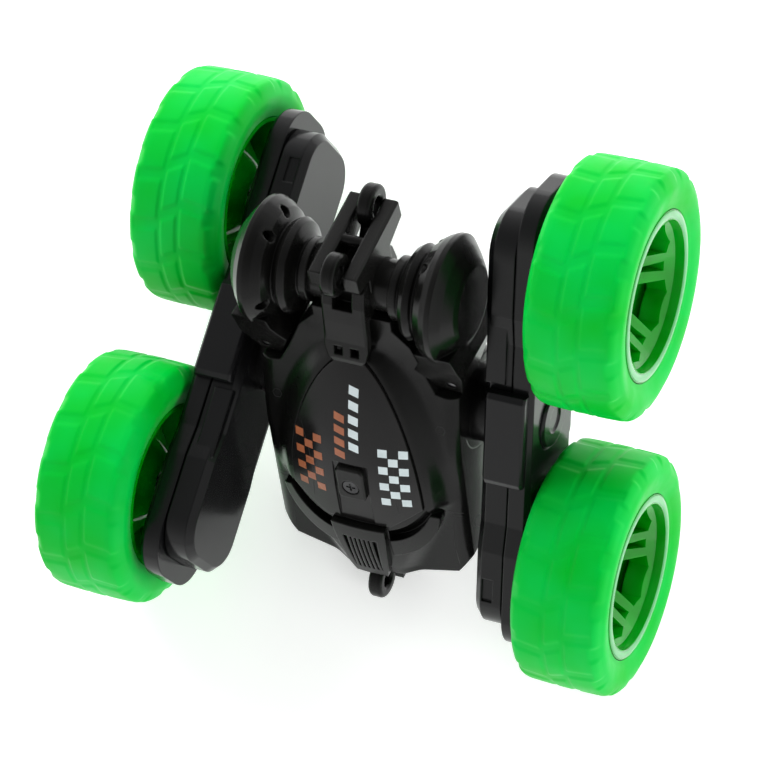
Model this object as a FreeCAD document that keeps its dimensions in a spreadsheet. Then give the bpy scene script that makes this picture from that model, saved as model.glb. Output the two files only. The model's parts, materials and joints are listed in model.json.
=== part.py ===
import FreeCAD, Part
import Sketcher
import math
import os

# Double-sided stunt car: a chassis between two long swing arms, with a driven wheel at each arm end.
# Millimetres. Each piece is drawn in the frame of the body it belongs to (chassis, arm or wheel,
# x along the pivot axis, y forward, z up) and its Placement turns that frame into the resting stance.

V = FreeCAD.Vector
doc = FreeCAD.newDocument("rc_stunt_car")
doc.UndoMode = 0

# ---------------------------------------------------------------- driving sizes
SIZES = {
    # wheels
    "wheel_radius": 36.0, "tyre_width": 28.5, "bead_radius": 24.4, "rim_width": 25.8,
    "rim_lip_radius": 21.5, "wheelbase": 90.0, "track": 135.0, "tyre_wall": 2.6,
    # arms, "u" is the distance out from the middle plane of the car
    "arm_inner_u": 36.5, "arm_seam_u": 45.4, "arm_outer_u": 51.5, "arm_half_height": 16.0,
    "arm_wall": 1.5, "arm_half_length": 72.0, "block_half_height": 19.5, "block_half_length": 14.5,
    "hub_radius": 11.0, "hub_bore": 9.2, "hub_inner_u": 19.0, "bush_radius": 3.2,
    # gear train
    "gear_module": 1.0, "gear_width": 3.6, "gear_face_u": 45.8, "drive_teeth": 15.0,
    "idler_teeth": 27.0, "wheel_teeth": 21.0, "axle_radius": 1.5, "bore_play": 0.06,
    # chassis
    "mid_height": 6.4, "chassis_half_width": 30.5, "shell_wall": 1.8, "door_thickness": 2.4,
    "bearing_radius": 13.4, "crossbar_y": 46.0, "crossbar_radius": 7.5, "dome_radius": 18.5,
    "eye_wire": 1.8, "eye_radius": 4.4, "battery_cell_radius": 7.0, "battery_cell_length": 45.0,
    # stance
    "arm_twist": 42.0, "chassis_pitch": 60.0,
}
sheet = doc.addObject("Spreadsheet::Sheet", "Sizes")
for row, (alias, value) in enumerate(SIZES.items(), start=1):
    sheet.set("A%d" % row, alias)
    sheet.set("B%d" % row, "%g" % value)
    sheet.setAlias("B%d" % row, alias)
doc.recompute()


class Size:
    """A number together with the spreadsheet expression that gives it."""

    def __init__(self, value, text):
        self.value = float(value)
        self.text = text

    def __add__(self, other):
        other = as_size(other)
        return Size(self.value + other.value, "(%s + %s)" % (self.text, other.text))

    def __sub__(self, other):
        other = as_size(other)
        return Size(self.value - other.value, "(%s - %s)" % (self.text, other.text))

    def __mul__(self, other):
        other = as_size(other)
        return Size(self.value * other.value, "(%s * %s)" % (self.text, other.text))

    def __truediv__(self, other):
        other = as_size(other)
        return Size(self.value / other.value, "(%s / %s)" % (self.text, other.text))

    def __neg__(self):
        return Size(-self.value, "(0 - %s)" % self.text)

    __radd__ = __add__
    __rmul__ = __mul__


def as_size(number):
    if isinstance(number, Size):
        return number
    return Size(number, "(%.6f)" % number)


def size(alias):
    return Size(SIZES[alias], "Sizes." + alias)


def val(number):
    return as_size(number).value


# ---------------------------------------------------------------- stance
half_base = SIZES["wheelbase"] / 2
half_track = SIZES["track"] / 2
tilt = math.degrees(math.atan(half_base * math.sin(math.radians(SIZES["arm_twist"])) / SIZES["track"]))
shoulder_x = SIZES["tyre_width"] / 2 - 4.4
wheel_centre_height = (SIZES["wheel_radius"] * math.cos(math.radians(tilt))
                       + shoulder_x * math.sin(math.radians(tilt)))
pivot_height = wheel_centre_height + half_track * math.sin(math.radians(tilt))
centring = half_base * math.sin(math.radians(SIZES["arm_twist"])) * math.sin(math.radians(tilt)) / 2
STANCE = FreeCAD.Placement(V(-centring, 0, pivot_height), FreeCAD.Rotation(V(0, 1, 0), -tilt))


def turned(angle):
    """Frame of a body turned by angle degrees about the pivot axis."""
    return STANCE.multiply(FreeCAD.Placement(V(0, 0, 0), FreeCAD.Rotation(V(1, 0, 0), angle)))


CHASSIS = turned(SIZES["chassis_pitch"])
ARM = {"left": turned(0.0), "right": turned(SIZES["arm_twist"])}
SIDE = {"left": -1, "right": 1}
END = {"front": 1, "rear": -1}

nodes = []


def node(obj, label, placement):
    """Give a finished piece its node name and its place in the resting car."""
    obj.Label = label
    obj.Placement = placement.multiply(obj.Placement)
    nodes.append(obj)
    return obj


# ---------------------------------------------------------------- drawing helpers
def origin_plane(body, role):
    for feature in body.Origin.OriginFeatures:
        if feature.Role == role:
            return feature
    raise RuntimeError("no plane " + role)


def new_body(name):
    return doc.addObject("PartDesign::Body", name)


def new_sketch(body, role, name, offset=0.0):
    """Sketch on an origin plane: YZ (u = y, v = z), XZ (u = x, v = z) or XY (u = x, v = y)."""
    sketch = body.newObject("Sketcher::SketchObject", name)
    sketch.AttachmentSupport = [(origin_plane(body, role), "")]
    sketch.MapMode = "FlatFace"
    offset = as_size(offset)
    sketch.AttachmentOffset = FreeCAD.Placement(V(0, 0, offset.value), FreeCAD.Rotation())
    sketch.setExpression("AttachmentOffset.Base.z", offset.text)
    return sketch


def bind(sketch, index, number):
    sketch.setExpression("Constraints[%d]" % index, as_size(number).text)


def pin_point(sketch, geo, pos, x, y):
    """Hold one sketch point at (x, y) with dimensions tied to the spreadsheet."""
    for kind, number, axis in (("DistanceX", x, -2), ("DistanceY", y, -1)):
        if abs(val(number)) < 1e-9:
            sketch.addConstraint(Sketcher.Constraint("PointOnObject", geo, pos, axis))
        else:
            index = sketch.addConstraint(Sketcher.Constraint(kind, -1, 1, geo, pos, val(number)))
            bind(sketch, index, number)


def draw_polygon(sketch, points):
    first = sketch.GeometryCount
    count = len(points)
    corners = [V(val(x), val(y), 0) for x, y in points]
    for i in range(count):
        sketch.addGeometry(Part.LineSegment(corners[i], corners[(i + 1) % count]), False)
    for i in range(count):
        sketch.addConstraint(Sketcher.Constraint("Coincident", first + i, 2, first + (i + 1) % count, 1))
    for i, (x, y) in enumerate(points):
        pin_point(sketch, first + i, 1, x, y)


def draw_circle(sketch, x, y, radius):
    geo = sketch.addGeometry(Part.Circle(V(val(x), val(y), 0), V(0, 0, 1), val(radius)), False)
    pin_point(sketch, geo, 3, x, y)
    index = sketch.addConstraint(Sketcher.Constraint("Radius", geo, val(radius)))
    bind(sketch, index, radius)


def pad(body, sketch, length, reverse=False, midplane=False, kind="PartDesign::Pad"):
    feature = body.newObject(kind, kind.split("::")[1])
    feature.Profile = sketch
    feature.Length = val(length)
    feature.setExpression("Length", as_size(length).text)
    feature.Reversed = reverse
    feature.Midplane = midplane
    body.Tip = feature
    doc.recompute()
    return feature


def pocket(body, sketch, length, reverse=False, midplane=False):
    before = body.Shape.Volume
    feature = pad(body, sketch, length, reverse, midplane, "PartDesign::Pocket")
    if body.Shape.Volume > before - 0.01:
        raise RuntimeError("pocket in %s cuts nothing" % body.Name)
    return feature


def revolve(body, sketch, kind="PartDesign::Revolution"):
    feature = body.newObject(kind, kind.split("::")[1])
    feature.Profile = sketch
    feature.ReferenceAxis = (sketch, ["H_Axis"])
    feature.Angle = 360
    body.Tip = feature
    doc.recompute()
    return feature


def polar(body, features, sketch, count):
    pattern = body.newObject("PartDesign::PolarPattern", "PolarPattern")
    pattern.Originals = features
    pattern.Axis = (sketch, ["N_Axis"])
    pattern.Angle = 360
    pattern.Occurrences = count
    body.Tip = pattern
    doc.recompute()
    return pattern


def edge_feature(body, kind, amount, pick):
    """Fillet or chamfer every edge of the body for which pick(edge) is true."""
    base = body.Tip
    names = ["Edge%d" % (i + 1) for i, edge in enumerate(base.Shape.Edges) if pick(edge)]
    feature = body.newObject("PartDesign::" + kind, kind)
    feature.Base = (base, names)
    if kind == "Fillet":
        feature.Radius = amount
    else:
        feature.Size = amount
    body.Tip = feature
    doc.recompute()
    return feature


def outer_edges_at(x, smallest):
    """Edges lying in the plane x, no part of them nearer the x axis than smallest."""
    def pick(edge):
        box = edge.BoundBox
        if abs(box.XMin - x) > 0.01 or abs(box.XMax - x) > 0.01:
            return False
        middle = edge.valueAt((edge.FirstParameter + edge.LastParameter) / 2)
        return max(abs(middle.y) / 2.2, abs(middle.z)) > smallest
    return pick


def prim(kind, name, place=None, **sizes):
    """Part primitive whose sizes follow the spreadsheet."""
    obj = doc.addObject("Part::" + kind, name)
    for prop, number in sizes.items():
        setattr(obj, prop, val(number))
        obj.setExpression(prop, as_size(number).text)
    if place is not None:
        obj.Placement = place
    return obj


ALONG_X = FreeCAD.Rotation(V(0, 1, 0), 90)


def rod(name, x0, x1, radius, y=0.0, z=0.0):
    """Cylinder along x from x0 to x1."""
    low = x0 if val(x0) < val(x1) else x1
    high = x1 if val(x0) < val(x1) else x0
    place = FreeCAD.Placement(V(val(low), val(y), val(z)), ALONG_X)
    return prim("Cylinder", name, place, Radius=radius, Height=as_size(high) - low)


def box(name, x0, x1, y0, y1, z0, z1):
    place = FreeCAD.Placement(V(min(x0, x1), min(y0, y1), min(z0, z1)), FreeCAD.Rotation())
    return prim("Box", name, place, Length=abs(x1 - x0), Width=abs(y1 - y0), Height=abs(z1 - z0))


def cut(name, base, tool):
    obj = doc.addObject("Part::Cut", name)
    obj.Base = base
    obj.Tool = tool
    return obj


def fuse(name, shapes):
    obj = doc.addObject("Part::MultiFuse", name)
    obj.Shapes = shapes
    return obj


def common(name, base, tool):
    obj = doc.addObject("Part::Common", name)
    obj.Base = base
    obj.Tool = tool
    return obj


def group(name, shapes):
    """Several separate solids that share one node."""
    obj = doc.addObject("Part::Compound", name)
    obj.Links = shapes
    return obj


def plain(name, shape):
    obj = doc.addObject("Part::Feature", name)
    obj.Shape = shape
    return obj


def prism(points, z0, z1):
    """Plan outline (x, y) swept from z0 up to z1."""
    wire = Part.makePolygon([V(x, y, z0) for x, y in points + points[:1]])
    return Part.Face(wire).extrude(V(0, 0, z1 - z0))


def mirrored_outline(half):
    """Close a plan outline given by its +x half, front to back."""
    return half + [(-x, y) for x, y in reversed(half) if x > 0]


# ---------------------------------------------------------------- wheels
# Wheel frame: x points outward along the axle, origin in the middle of the tyre.
def make_tyre(name):
    body = new_body(name)
    profile = new_sketch(body, "XY_Plane", name + "_section")
    half = size("tyre_width") / 2
    bead = size("bead_radius")
    crown = size("wheel_radius")
    wall = size("tyre_wall")
    outside = [(half - 1.2, bead), (half, bead + 2.8), (half - 0.3, bead + 6.6),
               (half - 1.6, crown - 1.9), (half - 4.4, crown)]
    inside = [(half - 4.4, bead), (half - wall - 0.3, bead + 3.2), (half - wall - 0.6, crown - wall - 2.0),
              (half - wall - 3.2, crown - wall)]
    right = outside[::-1] + inside
    draw_polygon(profile, right + [(-x, y) for x, y in reversed(right)])
    revolve(body, profile)
    return body


def spun(points, degrees):
    """Turn sketch points about the sketch origin."""
    c = math.cos(math.radians(degrees))
    s = math.sin(math.radians(degrees))
    return [(x * c - y * s, x * s + y * c) for x, y in points]


SPOKES = 5


def make_rim(name):
    body = new_body(name)
    profile = new_sketch(body, "XY_Plane", name + "_section")
    half = size("rim_width") / 2
    seat = size("bead_radius") - 0.1
    lip = size("rim_lip_radius")
    bore = size("axle_radius") + 0.02
    draw_polygon(profile, [
        (-half, seat), (half, seat), (half, lip), (half - 2.6, lip - 0.4),
        (-1.5, 8.6), (0.8, 6.4), (1.6, 5.4), (1.6, bore), (-9.0, bore), (-9.0, 4.6), (-5.6, 7.4),
        (4.2, lip - 0.3), (3.0, seat - 1.6), (-half, seat - 1.2)])
    revolve(body, profile)
    windows = new_sketch(body, "YZ_Plane", name + "_window", half + 1)
    draw_polygon(windows, [(2.1, 9.8), (7.6, 17.6), (4.6, 19.6), (-4.6, 19.6), (-7.6, 17.6), (-2.1, 9.8)])
    hole = pocket(body, windows, size("rim_width") + 2)
    polar(body, [hole], windows, SPOKES)
    slit = new_sketch(body, "YZ_Plane", name + "_slit", half + 1)
    draw_polygon(slit, spun([(0.7, 12.4), (1.5, 18.6), (-1.5, 18.6), (-0.7, 12.4)], 180.0 / SPOKES))
    split = pocket(body, slit, size("rim_width") + 2)
    polar(body, [split], slit, SPOKES)
    return body


# ---------------------------------------------------------------- gears
ADDENDUM = 0.85
DEDENDUM = 1.15
PRESSURE_ANGLE = math.radians(20)
BACKLASH = 0.22


def involute_angle(base, radius):
    """Polar angle swept by an involute from its base circle out to radius."""
    if radius <= base:
        return 0.0
    alpha = math.acos(base / radius)
    return math.tan(alpha) - alpha


def gear_shape(teeth, phase, x0, width, y, bore):
    """Spur gear about the x direction at height y; one tooth centre points at angle phase (radians)."""
    module = SIZES["gear_module"]
    pitch = module * teeth / 2
    base = pitch * math.cos(PRESSURE_ANGLE)
    tip = pitch + ADDENDUM * module
    root = pitch - DEDENDUM * module
    half_tooth = (math.pi * module / 2 - BACKLASH) / 2 / pitch + involute_angle(base, pitch)
    flank_radii = [root, max(base, root + 0.2), pitch, tip]
    points = []
    for tooth in range(teeth):
        middle = phase + 2 * math.pi * tooth / teeth
        flank = [(radius, half_tooth - involute_angle(base, radius)) for radius in flank_radii]
        for radius, angle in flank:
            points.append((radius, middle - angle))
        for radius, angle in reversed(flank):
            points.append((radius, middle + angle))
    corners = [V(x0, y + r * math.cos(a), r * math.sin(a)) for r, a in points]
    blank = Part.Face(Part.makePolygon(corners + corners[:1])).extrude(V(width, 0, 0))
    if bore:
        blank = blank.cut(Part.makeCylinder(bore, width + 2, V(x0 - 1, y, 0), V(1, 0, 0)))
    return blank


def mesh_phase(phase, teeth, other_teeth, direction):
    """Phase of a gear of other_teeth that meshes, in the given direction, with one of known phase."""
    pitch_angle = 2 * math.pi / teeth
    ahead = (phase - direction) % pitch_angle
    arc = ahead * teeth / 2
    return direction + math.pi - (arc + math.pi / 2) / (other_teeth / 2)


GEAR_X = SIZES["gear_face_u"]
GEAR_WIDTH = SIZES["gear_width"]
DRIVE_TEETH = int(SIZES["drive_teeth"])
IDLER_TEETH = int(SIZES["idler_teeth"])
WHEEL_TEETH = int(SIZES["wheel_teeth"])
IDLER_Y = SIZES["gear_module"] * (DRIVE_TEETH + IDLER_TEETH) / 2
RUNNING = SIZES["axle_radius"] + SIZES["bore_play"]
PRESSED = SIZES["axle_radius"] + 0.02


# ---------------------------------------------------------------- swing arms
# Arm frame: x points outward along the pivot axis, y along the arm, z up. Both arms are the same parts;
# the left arm is the right one turned half round about z.
def arm_outline(length, high, inset):
    """Side outline of an arm: straight in the middle, deeper round the axles, cut off at the ends."""
    quarter = [
        (length - inset, as_size(6.0 - 0.4 * inset)),
        (length - 9.0 - 0.5 * inset, high - 1.2 - inset),
        (as_size(50.0 - 0.2 * inset), high + 1.6 - inset),
        (as_size(38.0 + 0.2 * inset), high + 1.6 - inset),
        (as_size(29.0 + 0.2 * inset), high - inset)]
    top = quarter + [(-x, y) for x, y in reversed(quarter)]
    return top + [(x, -y) for x, y in reversed(top)]


def arm_plate(body, name, offset, length, high, depth, corner):
    """Slab with the arm's side outline and large round corners at both ends."""
    quarter = [(length, high + 1.6), (38.0, high + 1.6), (29.0, high)]
    top = quarter + [(-x, y) for x, y in reversed(quarter)]
    outline = new_sketch(body, "YZ_Plane", name + "_outline", offset)
    draw_polygon(outline, top + [(x, -y) for x, y in reversed(top)])
    pad(body, outline, depth)
    end = val(length) - 1
    edge_feature(body, "Fillet", corner,
                 lambda edge: edge.BoundBox.XLength > 1 and abs(edge.BoundBox.Center.y) > end)


SCREW_SPOTS = [(61.0, 0.0), (-61.0, 0.0), (34.5, 12.2), (34.5, -12.2), (-34.5, 12.2), (-34.5, -12.2)]


def circles(body, role, name, offset, spots, radius):
    sketch = new_sketch(body, role, name, offset)
    for x, y in spots:
        draw_circle(sketch, x, y, radius)
    return sketch


def arm_outer_shell(name):
    body = new_body(name)
    seam = size("arm_seam_u")
    face = size("arm_outer_u")
    wall = size("arm_wall")
    high = size("arm_half_height")
    base_y = SIZES["wheelbase"] / 2
    arm_plate(body, name, seam, size("arm_half_length"), high, face - seam, 13.0)
    edge_feature(body, "Chamfer", 1.3, outer_edges_at(val(face), 0))
    cavity = new_sketch(body, "YZ_Plane", name + "_cavity", face - wall)
    draw_polygon(cavity, arm_outline(size("arm_half_length") - 6, high, 1.4))
    pocket(body, cavity, face - seam)
    boss = circles(body, "YZ_Plane", name + "_axle_boss", face - wall, [(base_y, 0), (-base_y, 0)], 5.2)
    pad(body, boss, wall + 4.5)
    posts = circles(body, "YZ_Plane", name + "_screw_post", seam, SCREW_SPOTS, 3.0)
    pad(body, posts, face - seam - 0.5)
    seats = circles(body, "YZ_Plane", name + "_bush_seat", face + 6, [(base_y, 0), (-base_y, 0)],
                    size("bush_radius"))
    pocket(body, seats, 12)
    heads = circles(body, "YZ_Plane", name + "_screw_head", face + 1, SCREW_SPOTS, 2.5)
    pocket(body, heads, 2.8)
    holes = circles(body, "YZ_Plane", name + "_screw_hole", face + 1, SCREW_SPOTS, 1.3)
    pocket(body, holes, 10)
    recess = circles(body, "YZ_Plane", name + "_cap_recess", face + 1, [(0, 0)], 9.1)
    pocket(body, recess, 1.7)
    shaft_hole = circles(body, "YZ_Plane", name + "_shaft_hole", face + 1, [(0, 0)], RUNNING)
    pocket(body, shaft_hole, 6)
    return body


def arm_inner_cover(name):
    body = new_body(name)
    face = size("arm_inner_u")
    seam = size("arm_seam_u")
    wall = size("arm_wall")
    high = size("arm_half_height") - 0.25
    reach = size("arm_half_length") - 6
    base_y = SIZES["wheelbase"] / 2
    arm_plate(body, name, face, reach, high, seam - face - 0.5, 11.5)
    edge_feature(body, "Chamfer", 2.0, outer_edges_at(val(face), 0))
    lip = new_sketch(body, "YZ_Plane", name + "_lip", seam - 1)
    draw_polygon(lip, arm_outline(reach, high, 0.8))
    pad(body, lip, 1)
    for way, flip in (("top", False), ("bottom", True)):
        panel = new_sketch(body, "XY_Plane", name + "_panel_" + way, (-(high - 2)) if flip else high - 2)
        draw_polygon(panel, [(37.4, 16.5), (43.2, 16.5), (43.2, 42.0), (41.6, 42.0), (37.4, 36.5)])
        pad(body, panel, 2.9, reverse=flip)
    cavity = new_sketch(body, "YZ_Plane", name + "_cavity", seam + 1)
    draw_polygon(cavity, arm_outline(reach, high, 1.55))
    pocket(body, cavity, seam - face - wall + 1)
    for way, flip in (("top", False), ("bottom", True)):
        slot = new_sketch(body, "XY_Plane", name + "_slot_" + way, -22.0 if flip else 22.0)
        draw_polygon(slot, [(38.9, -54.5), (42.2, -54.5), (42.2, -47.0), (38.9, -47.0)])
        pocket(body, slot, 5.4, reverse=flip)
    axle_spots = [(base_y, 0), (-base_y, 0)]
    seats = circles(body, "YZ_Plane", name + "_axle_seat", face + wall - 0.2, axle_spots, 4.8)
    pad(body, seats, 3.4)
    posts = circles(body, "YZ_Plane", name + "_screw_post", face + wall - 0.2, SCREW_SPOTS, 2.7)
    pad(body, posts, seam - face - wall + 0.2)
    shoulders = circles(body, "YZ_Plane", name + "_idler_shoulder", face + wall - 0.2,
                        [(IDLER_Y, 0), (-IDLER_Y, 0)], 3.0)
    pad(body, shoulders, GEAR_X - SIZES["arm_inner_u"] - SIZES["arm_wall"])
    pins = circles(body, "YZ_Plane", name + "_idler_pin", face + wall, [(IDLER_Y, 0), (-IDLER_Y, 0)],
                   size("axle_radius"))
    pad(body, pins, 11.7)
    bores = circles(body, "YZ_Plane", name + "_bush_bore", face + wall + 4, [(base_y, 0), (-base_y, 0)],
                    size("bush_radius"))
    pocket(body, bores, 4)
    threads = circles(body, "YZ_Plane", name + "_screw_bore", seam + 1, SCREW_SPOTS, 1.15)
    pocket(body, threads, 6)
    hub = circles(body, "YZ_Plane", name + "_hub_hole", face + wall + 1, [(0, 0)], size("hub_radius") + 0.05)
    pocket(body, hub, 8)
    return body


def arm_blocks(name):
    """Raised saddle blocks that wrap the middle of the arm, one above and one below."""
    body = new_body(name + "_top")
    high = size("block_half_height")
    reach = size("block_half_length")
    seat = size("arm_half_height") + 0.03
    outline = new_sketch(body, "YZ_Plane", name + "_outline", 38.4)
    draw_polygon(outline, [(-reach, seat), (reach, seat), (reach, high - 0.9), (reach - 1.6, high),
                           (-reach + 1.6, high), (-reach, high - 0.9)])
    pad(body, outline, 11.9)
    edge_feature(body, "Chamfer", 0.7,
                 lambda edge: edge.BoundBox.ZMin > val(high) - 1 and edge.BoundBox.XLength < 0.01)
    other = doc.addObject("Part::Mirroring", name + "_bottom")
    other.Source = body
    other.Normal = V(0, 0, 1)
    return group(name, [body, other])


def arm_hub(name):
    """Hollow pivot: flange inside the arm, tube running in the chassis bearing, inboard collar."""
    body = new_body(name)
    profile = new_sketch(body, "XY_Plane", name + "_section")
    start = size("hub_inner_u")
    inside = size("arm_inner_u") + size("arm_wall")
    tube = size("hub_radius")
    bore = size("hub_bore")
    draw_polygon(profile, [(start, bore), (start + 1.2, bore + 3.4), (start + 2.2, bore + 3.4),
                           (start + 2.2, tube),
                           (inside + 0.05, tube), (inside + 0.05, tube + 2.2), (inside + 1.6, tube + 2.2),
                           (inside + 1.6, 3.0), (inside - 1.0, 3.0), (inside - 1.0, bore)])
    revolve(body, profile)
    seat = new_sketch(body, "YZ_Plane", name + "_motor_seat", inside + 3)
    draw_polygon(seat, [(6.05, 5.05), (-6.05, 5.05), (-6.05, -5.05), (6.05, -5.05)])
    pocket(body, seat, 6)
    return body


def arm_motor(name):
    """Small flat-sided geared motor: can, gearbox block, end cap and two terminals."""
    back = SIZES["hub_inner_u"] + 1.6
    can = common(name + "_can", rod(name + "_round", back, back + 14.8, 6.0),
                 box(name + "_flats", back - 1, back + 16, -7, 7, -5, 5))
    gearbox = box(name + "_gearbox", back + 14.8, 43.7, -6, 6, -5, 5)
    cap = rod(name + "_cap", back - 0.8, back, 4.6)
    collar = rod(name + "_collar", 43.7, 44.1, 3.0)
    pins = [box(name + "_terminal_%d" % i, back - 1.6, back, 3.2 * i - 0.6, 3.2 * i + 0.6, 2.0, 2.5)
            for i in (-1, 1)]
    return fuse(name, [can, gearbox, cap, collar] + pins)


def arm_screws(name):
    seat = SIZES["arm_outer_u"] - 1.75
    screws = []
    for i, (y, z) in enumerate(SCREW_SPOTS):
        head = rod("%s_head_%d" % (name, i), seat, seat + 1.4, 2.3, y, z)
        shank = rod("%s_shank_%d" % (name, i), seat - 8.2, seat, 1.1, y, z)
        cross = [box("%s_cross_%d_%d" % (name, i, k), seat + 0.7, seat + 2, y - a, y + a, z - b, z + b)
                 for k, (a, b) in enumerate(((1.5, 0.3), (0.3, 1.5)))]
        screws.append(cut("%s_%d" % (name, i), fuse("%s_blank_%d" % (name, i), [head, shank]),
                          fuse("%s_drive_%d" % (name, i), cross)))
    return group(name, screws)


def arm_bushes(name):
    """Sintered bushes that carry the two axles, inner and outer."""
    inner = SIZES["arm_inner_u"] + SIZES["arm_wall"]
    outer = SIZES["arm_outer_u"]
    rings = []
    for i, y in enumerate((SIZES["wheelbase"] / 2, -SIZES["wheelbase"] / 2)):
        for k, (x0, x1) in enumerate(((inner + 0.1, inner + 3.1), (outer - 1.4, outer + 4.4))):
            ring = rod("%s_ring_%d_%d" % (name, i, k), x0, x1, size("bush_radius") - 0.04, y)
            hole = rod("%s_hole_%d_%d" % (name, i, k), x0 - 1, x1 + 1,
                       size("axle_radius") + size("bore_play"), y)
            rings.append(cut("%s_%d_%d" % (name, i, k), ring, hole))
    return group(name, rings)


def arm_cap(name):
    """Pivot cap let into the outer face of the arm."""
    body = new_body(name)
    profile = new_sketch(body, "XY_Plane", name + "_section")
    back = size("arm_outer_u") - 0.65
    draw_polygon(profile, [(back, 0), (back, 9.0), (back + 0.9, 9.0), (back + 1.6, 8.2), (back + 1.6, 4.2),
                           (back + 1.1, 3.6), (back + 1.1, 0)])
    revolve(body, profile)
    return body


def drive_train(side, frame):
    """Drive gear with its shaft, and the two idlers, of one arm."""
    drive_phase = 0.0
    shaft = Part.makeCylinder(SIZES["axle_radius"], 50.6 - 44.2, V(44.2, 0, 0), V(1, 0, 0))
    wheel_gears = {}
    gear = gear_shape(DRIVE_TEETH, drive_phase, GEAR_X, GEAR_WIDTH, 0.0, None).fuse(shaft)
    node(plain("drive_gear_" + side, gear), "drive_gear_" + side, frame)
    for way in (1, -1):
        toward = 0.0 if way > 0 else math.pi
        idler_phase = mesh_phase(drive_phase, DRIVE_TEETH, IDLER_TEETH, toward)
        wheel_phase = mesh_phase(idler_phase, IDLER_TEETH, WHEEL_TEETH, toward)
        end = end_name(side, way)
        idler = gear_shape(IDLER_TEETH, idler_phase, GEAR_X, GEAR_WIDTH, way * IDLER_Y, RUNNING)
        node(plain("idler_%s_%s" % (end, side), idler), "idler_gear_%s_%s" % (end, side), frame)
        wheel_gears[way] = gear_shape(WHEEL_TEETH, wheel_phase, GEAR_X, GEAR_WIDTH,
                                      way * SIZES["wheelbase"] / 2, PRESSED)
    return wheel_gears


def end_name(side, way):
    return "front" if way * SIDE[side] > 0 else "rear"


for side in ("left", "right"):
    half_turn = FreeCAD.Placement(V(0, 0, 0), FreeCAD.Rotation(V(0, 0, 1), 180 if side == "left" else 0))
    frame = ARM[side].multiply(half_turn)
    node(arm_outer_shell("shell_" + side), "arm_outer_shell_" + side, frame)
    node(arm_inner_cover("cover_" + side), "arm_inner_cover_" + side, frame)
    node(arm_blocks("blocks_" + side), "arm_saddle_blocks_" + side, frame)
    node(arm_hub("hub_" + side), "pivot_hub_" + side, frame)
    node(arm_motor("motor_" + side), "gear_motor_" + side, frame)
    node(arm_screws("arm_screw_" + side), "arm_screws_" + side, frame)
    node(arm_bushes("bush_" + side), "axle_bushes_" + side, frame)
    node(arm_cap("cap_" + side), "pivot_cap_" + side, frame)
    wheel_gears = drive_train(side, frame)
    for way in (1, -1):
        tag = "%s_%s" % (end_name(side, way), side)
        centre = FreeCAD.Placement(V(half_track, way * half_base, 0), FreeCAD.Rotation())
        wheel_frame = frame.multiply(centre)
        node(make_tyre("tyre_" + tag), "tyre_" + tag, wheel_frame)
        node(make_rim("rim_" + tag), "wheel_rim_" + tag, wheel_frame)
        inner_end = size("arm_inner_u") + size("arm_wall") + 0.4 - size("track") / 2
        node(rod("axle_" + tag, inner_end, 1.2, size("axle_radius")), "wheel_axle_" + tag, wheel_frame)
        node(plain("gear_" + tag, wheel_gears[way]), "wheel_gear_" + tag, frame)


# ---------------------------------------------------------------- chassis surfaces
# Chassis frame: x along the pivot axis, y forward, z up; the two faces of the car mirror about mid_height.
MID = SIZES["mid_height"]
HALF_WIDTH = SIZES["chassis_half_width"]
WALL = SIZES["shell_wall"]
CROWN_Y = -20.0
CROWN_Z = 28.8
DOOR_FRONT_Y = 25.2
DOOR_WIDEST_Y = -22.0
DOOR_HALF = 20.2
SHOULDER_BLEND = 7.0


def smooth(t):
    t = min(1.0, max(0.0, t))
    return t * t * (3 - 2 * t)


def crown(x, y):
    """Height of the domed middle of the chassis."""
    spread = 13.8 if y > CROWN_Y else 15.5
    return CROWN_Z - ((y - CROWN_Y) / spread) ** 2 - 0.0075 * x * x


def door_half_width(y):
    """Half width of the battery door at y."""
    along = (y - DOOR_WIDEST_Y) / 49.0
    return DOOR_HALF * max(0.0, 1 - along * along) ** 0.62


def hump_half_width(y):
    """Half width of the raised middle, door and tail included."""
    if y > 27:
        return -0.8 * (y - 27)
    if y >= DOOR_WIDEST_Y:
        return door_half_width(y) + 1.4
    return max(8.0, DOOR_HALF + 1.4 - 0.42 * (DOOR_WIDEST_Y - y))


def raised(x, y):
    """1 on the raised middle, 0 out on the shoulders."""
    return smooth((hump_half_width(y) + SHOULDER_BLEND - abs(x)) / SHOULDER_BLEND)


def skin(x, y):
    """Outer surface of the upper half of the chassis."""
    shoulder = 20.0 - 5.8 * smooth((y + 8) / 40.0)
    lift = raised(x, y)
    rounding = 0.13 * max(0.0, abs(x) - 26.5) ** 2
    return shoulder - rounding + (crown(x, y) - 0.3 - shoulder) * lift


def cavity_skin(x, y):
    return skin(x, y) - WALL - 2.4 * raised(x, y)


def surface(height, x_count=61, y_count=75):
    """Smooth face through height(x, y) over the plan of the chassis."""
    x_end = HALF_WIDTH + 3
    rows = []
    for i in range(x_count):
        x = -x_end + 2 * x_end * i / (x_count - 1)
        row = []
        for k in range(y_count):
            y = -64.0 + 118.0 * k / (y_count - 1)
            row.append(V(x, y, height(x, y)))
        rows.append(row)
    sheet_surface = Part.BSplineSurface()
    sheet_surface.interpolate(rows)
    return sheet_surface.toShape()


def layer(height, low, high):
    """Solid between two copies of a surface, low and high above it."""
    face = surface(height)
    face.translate(V(0, 0, low))
    return face.extrude(V(0, 0, high - low))


def belly_lift(y):
    """The underside rises toward the tail."""
    return 0.45 * max(0.0, -35.0 - y)


def underside(function):
    """The same surface mirrored about the middle plane and raised at the tail."""
    def mirrored(x, y):
        return 2 * MID - function(x, y) + belly_lift(y)
    return mirrored


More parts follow.
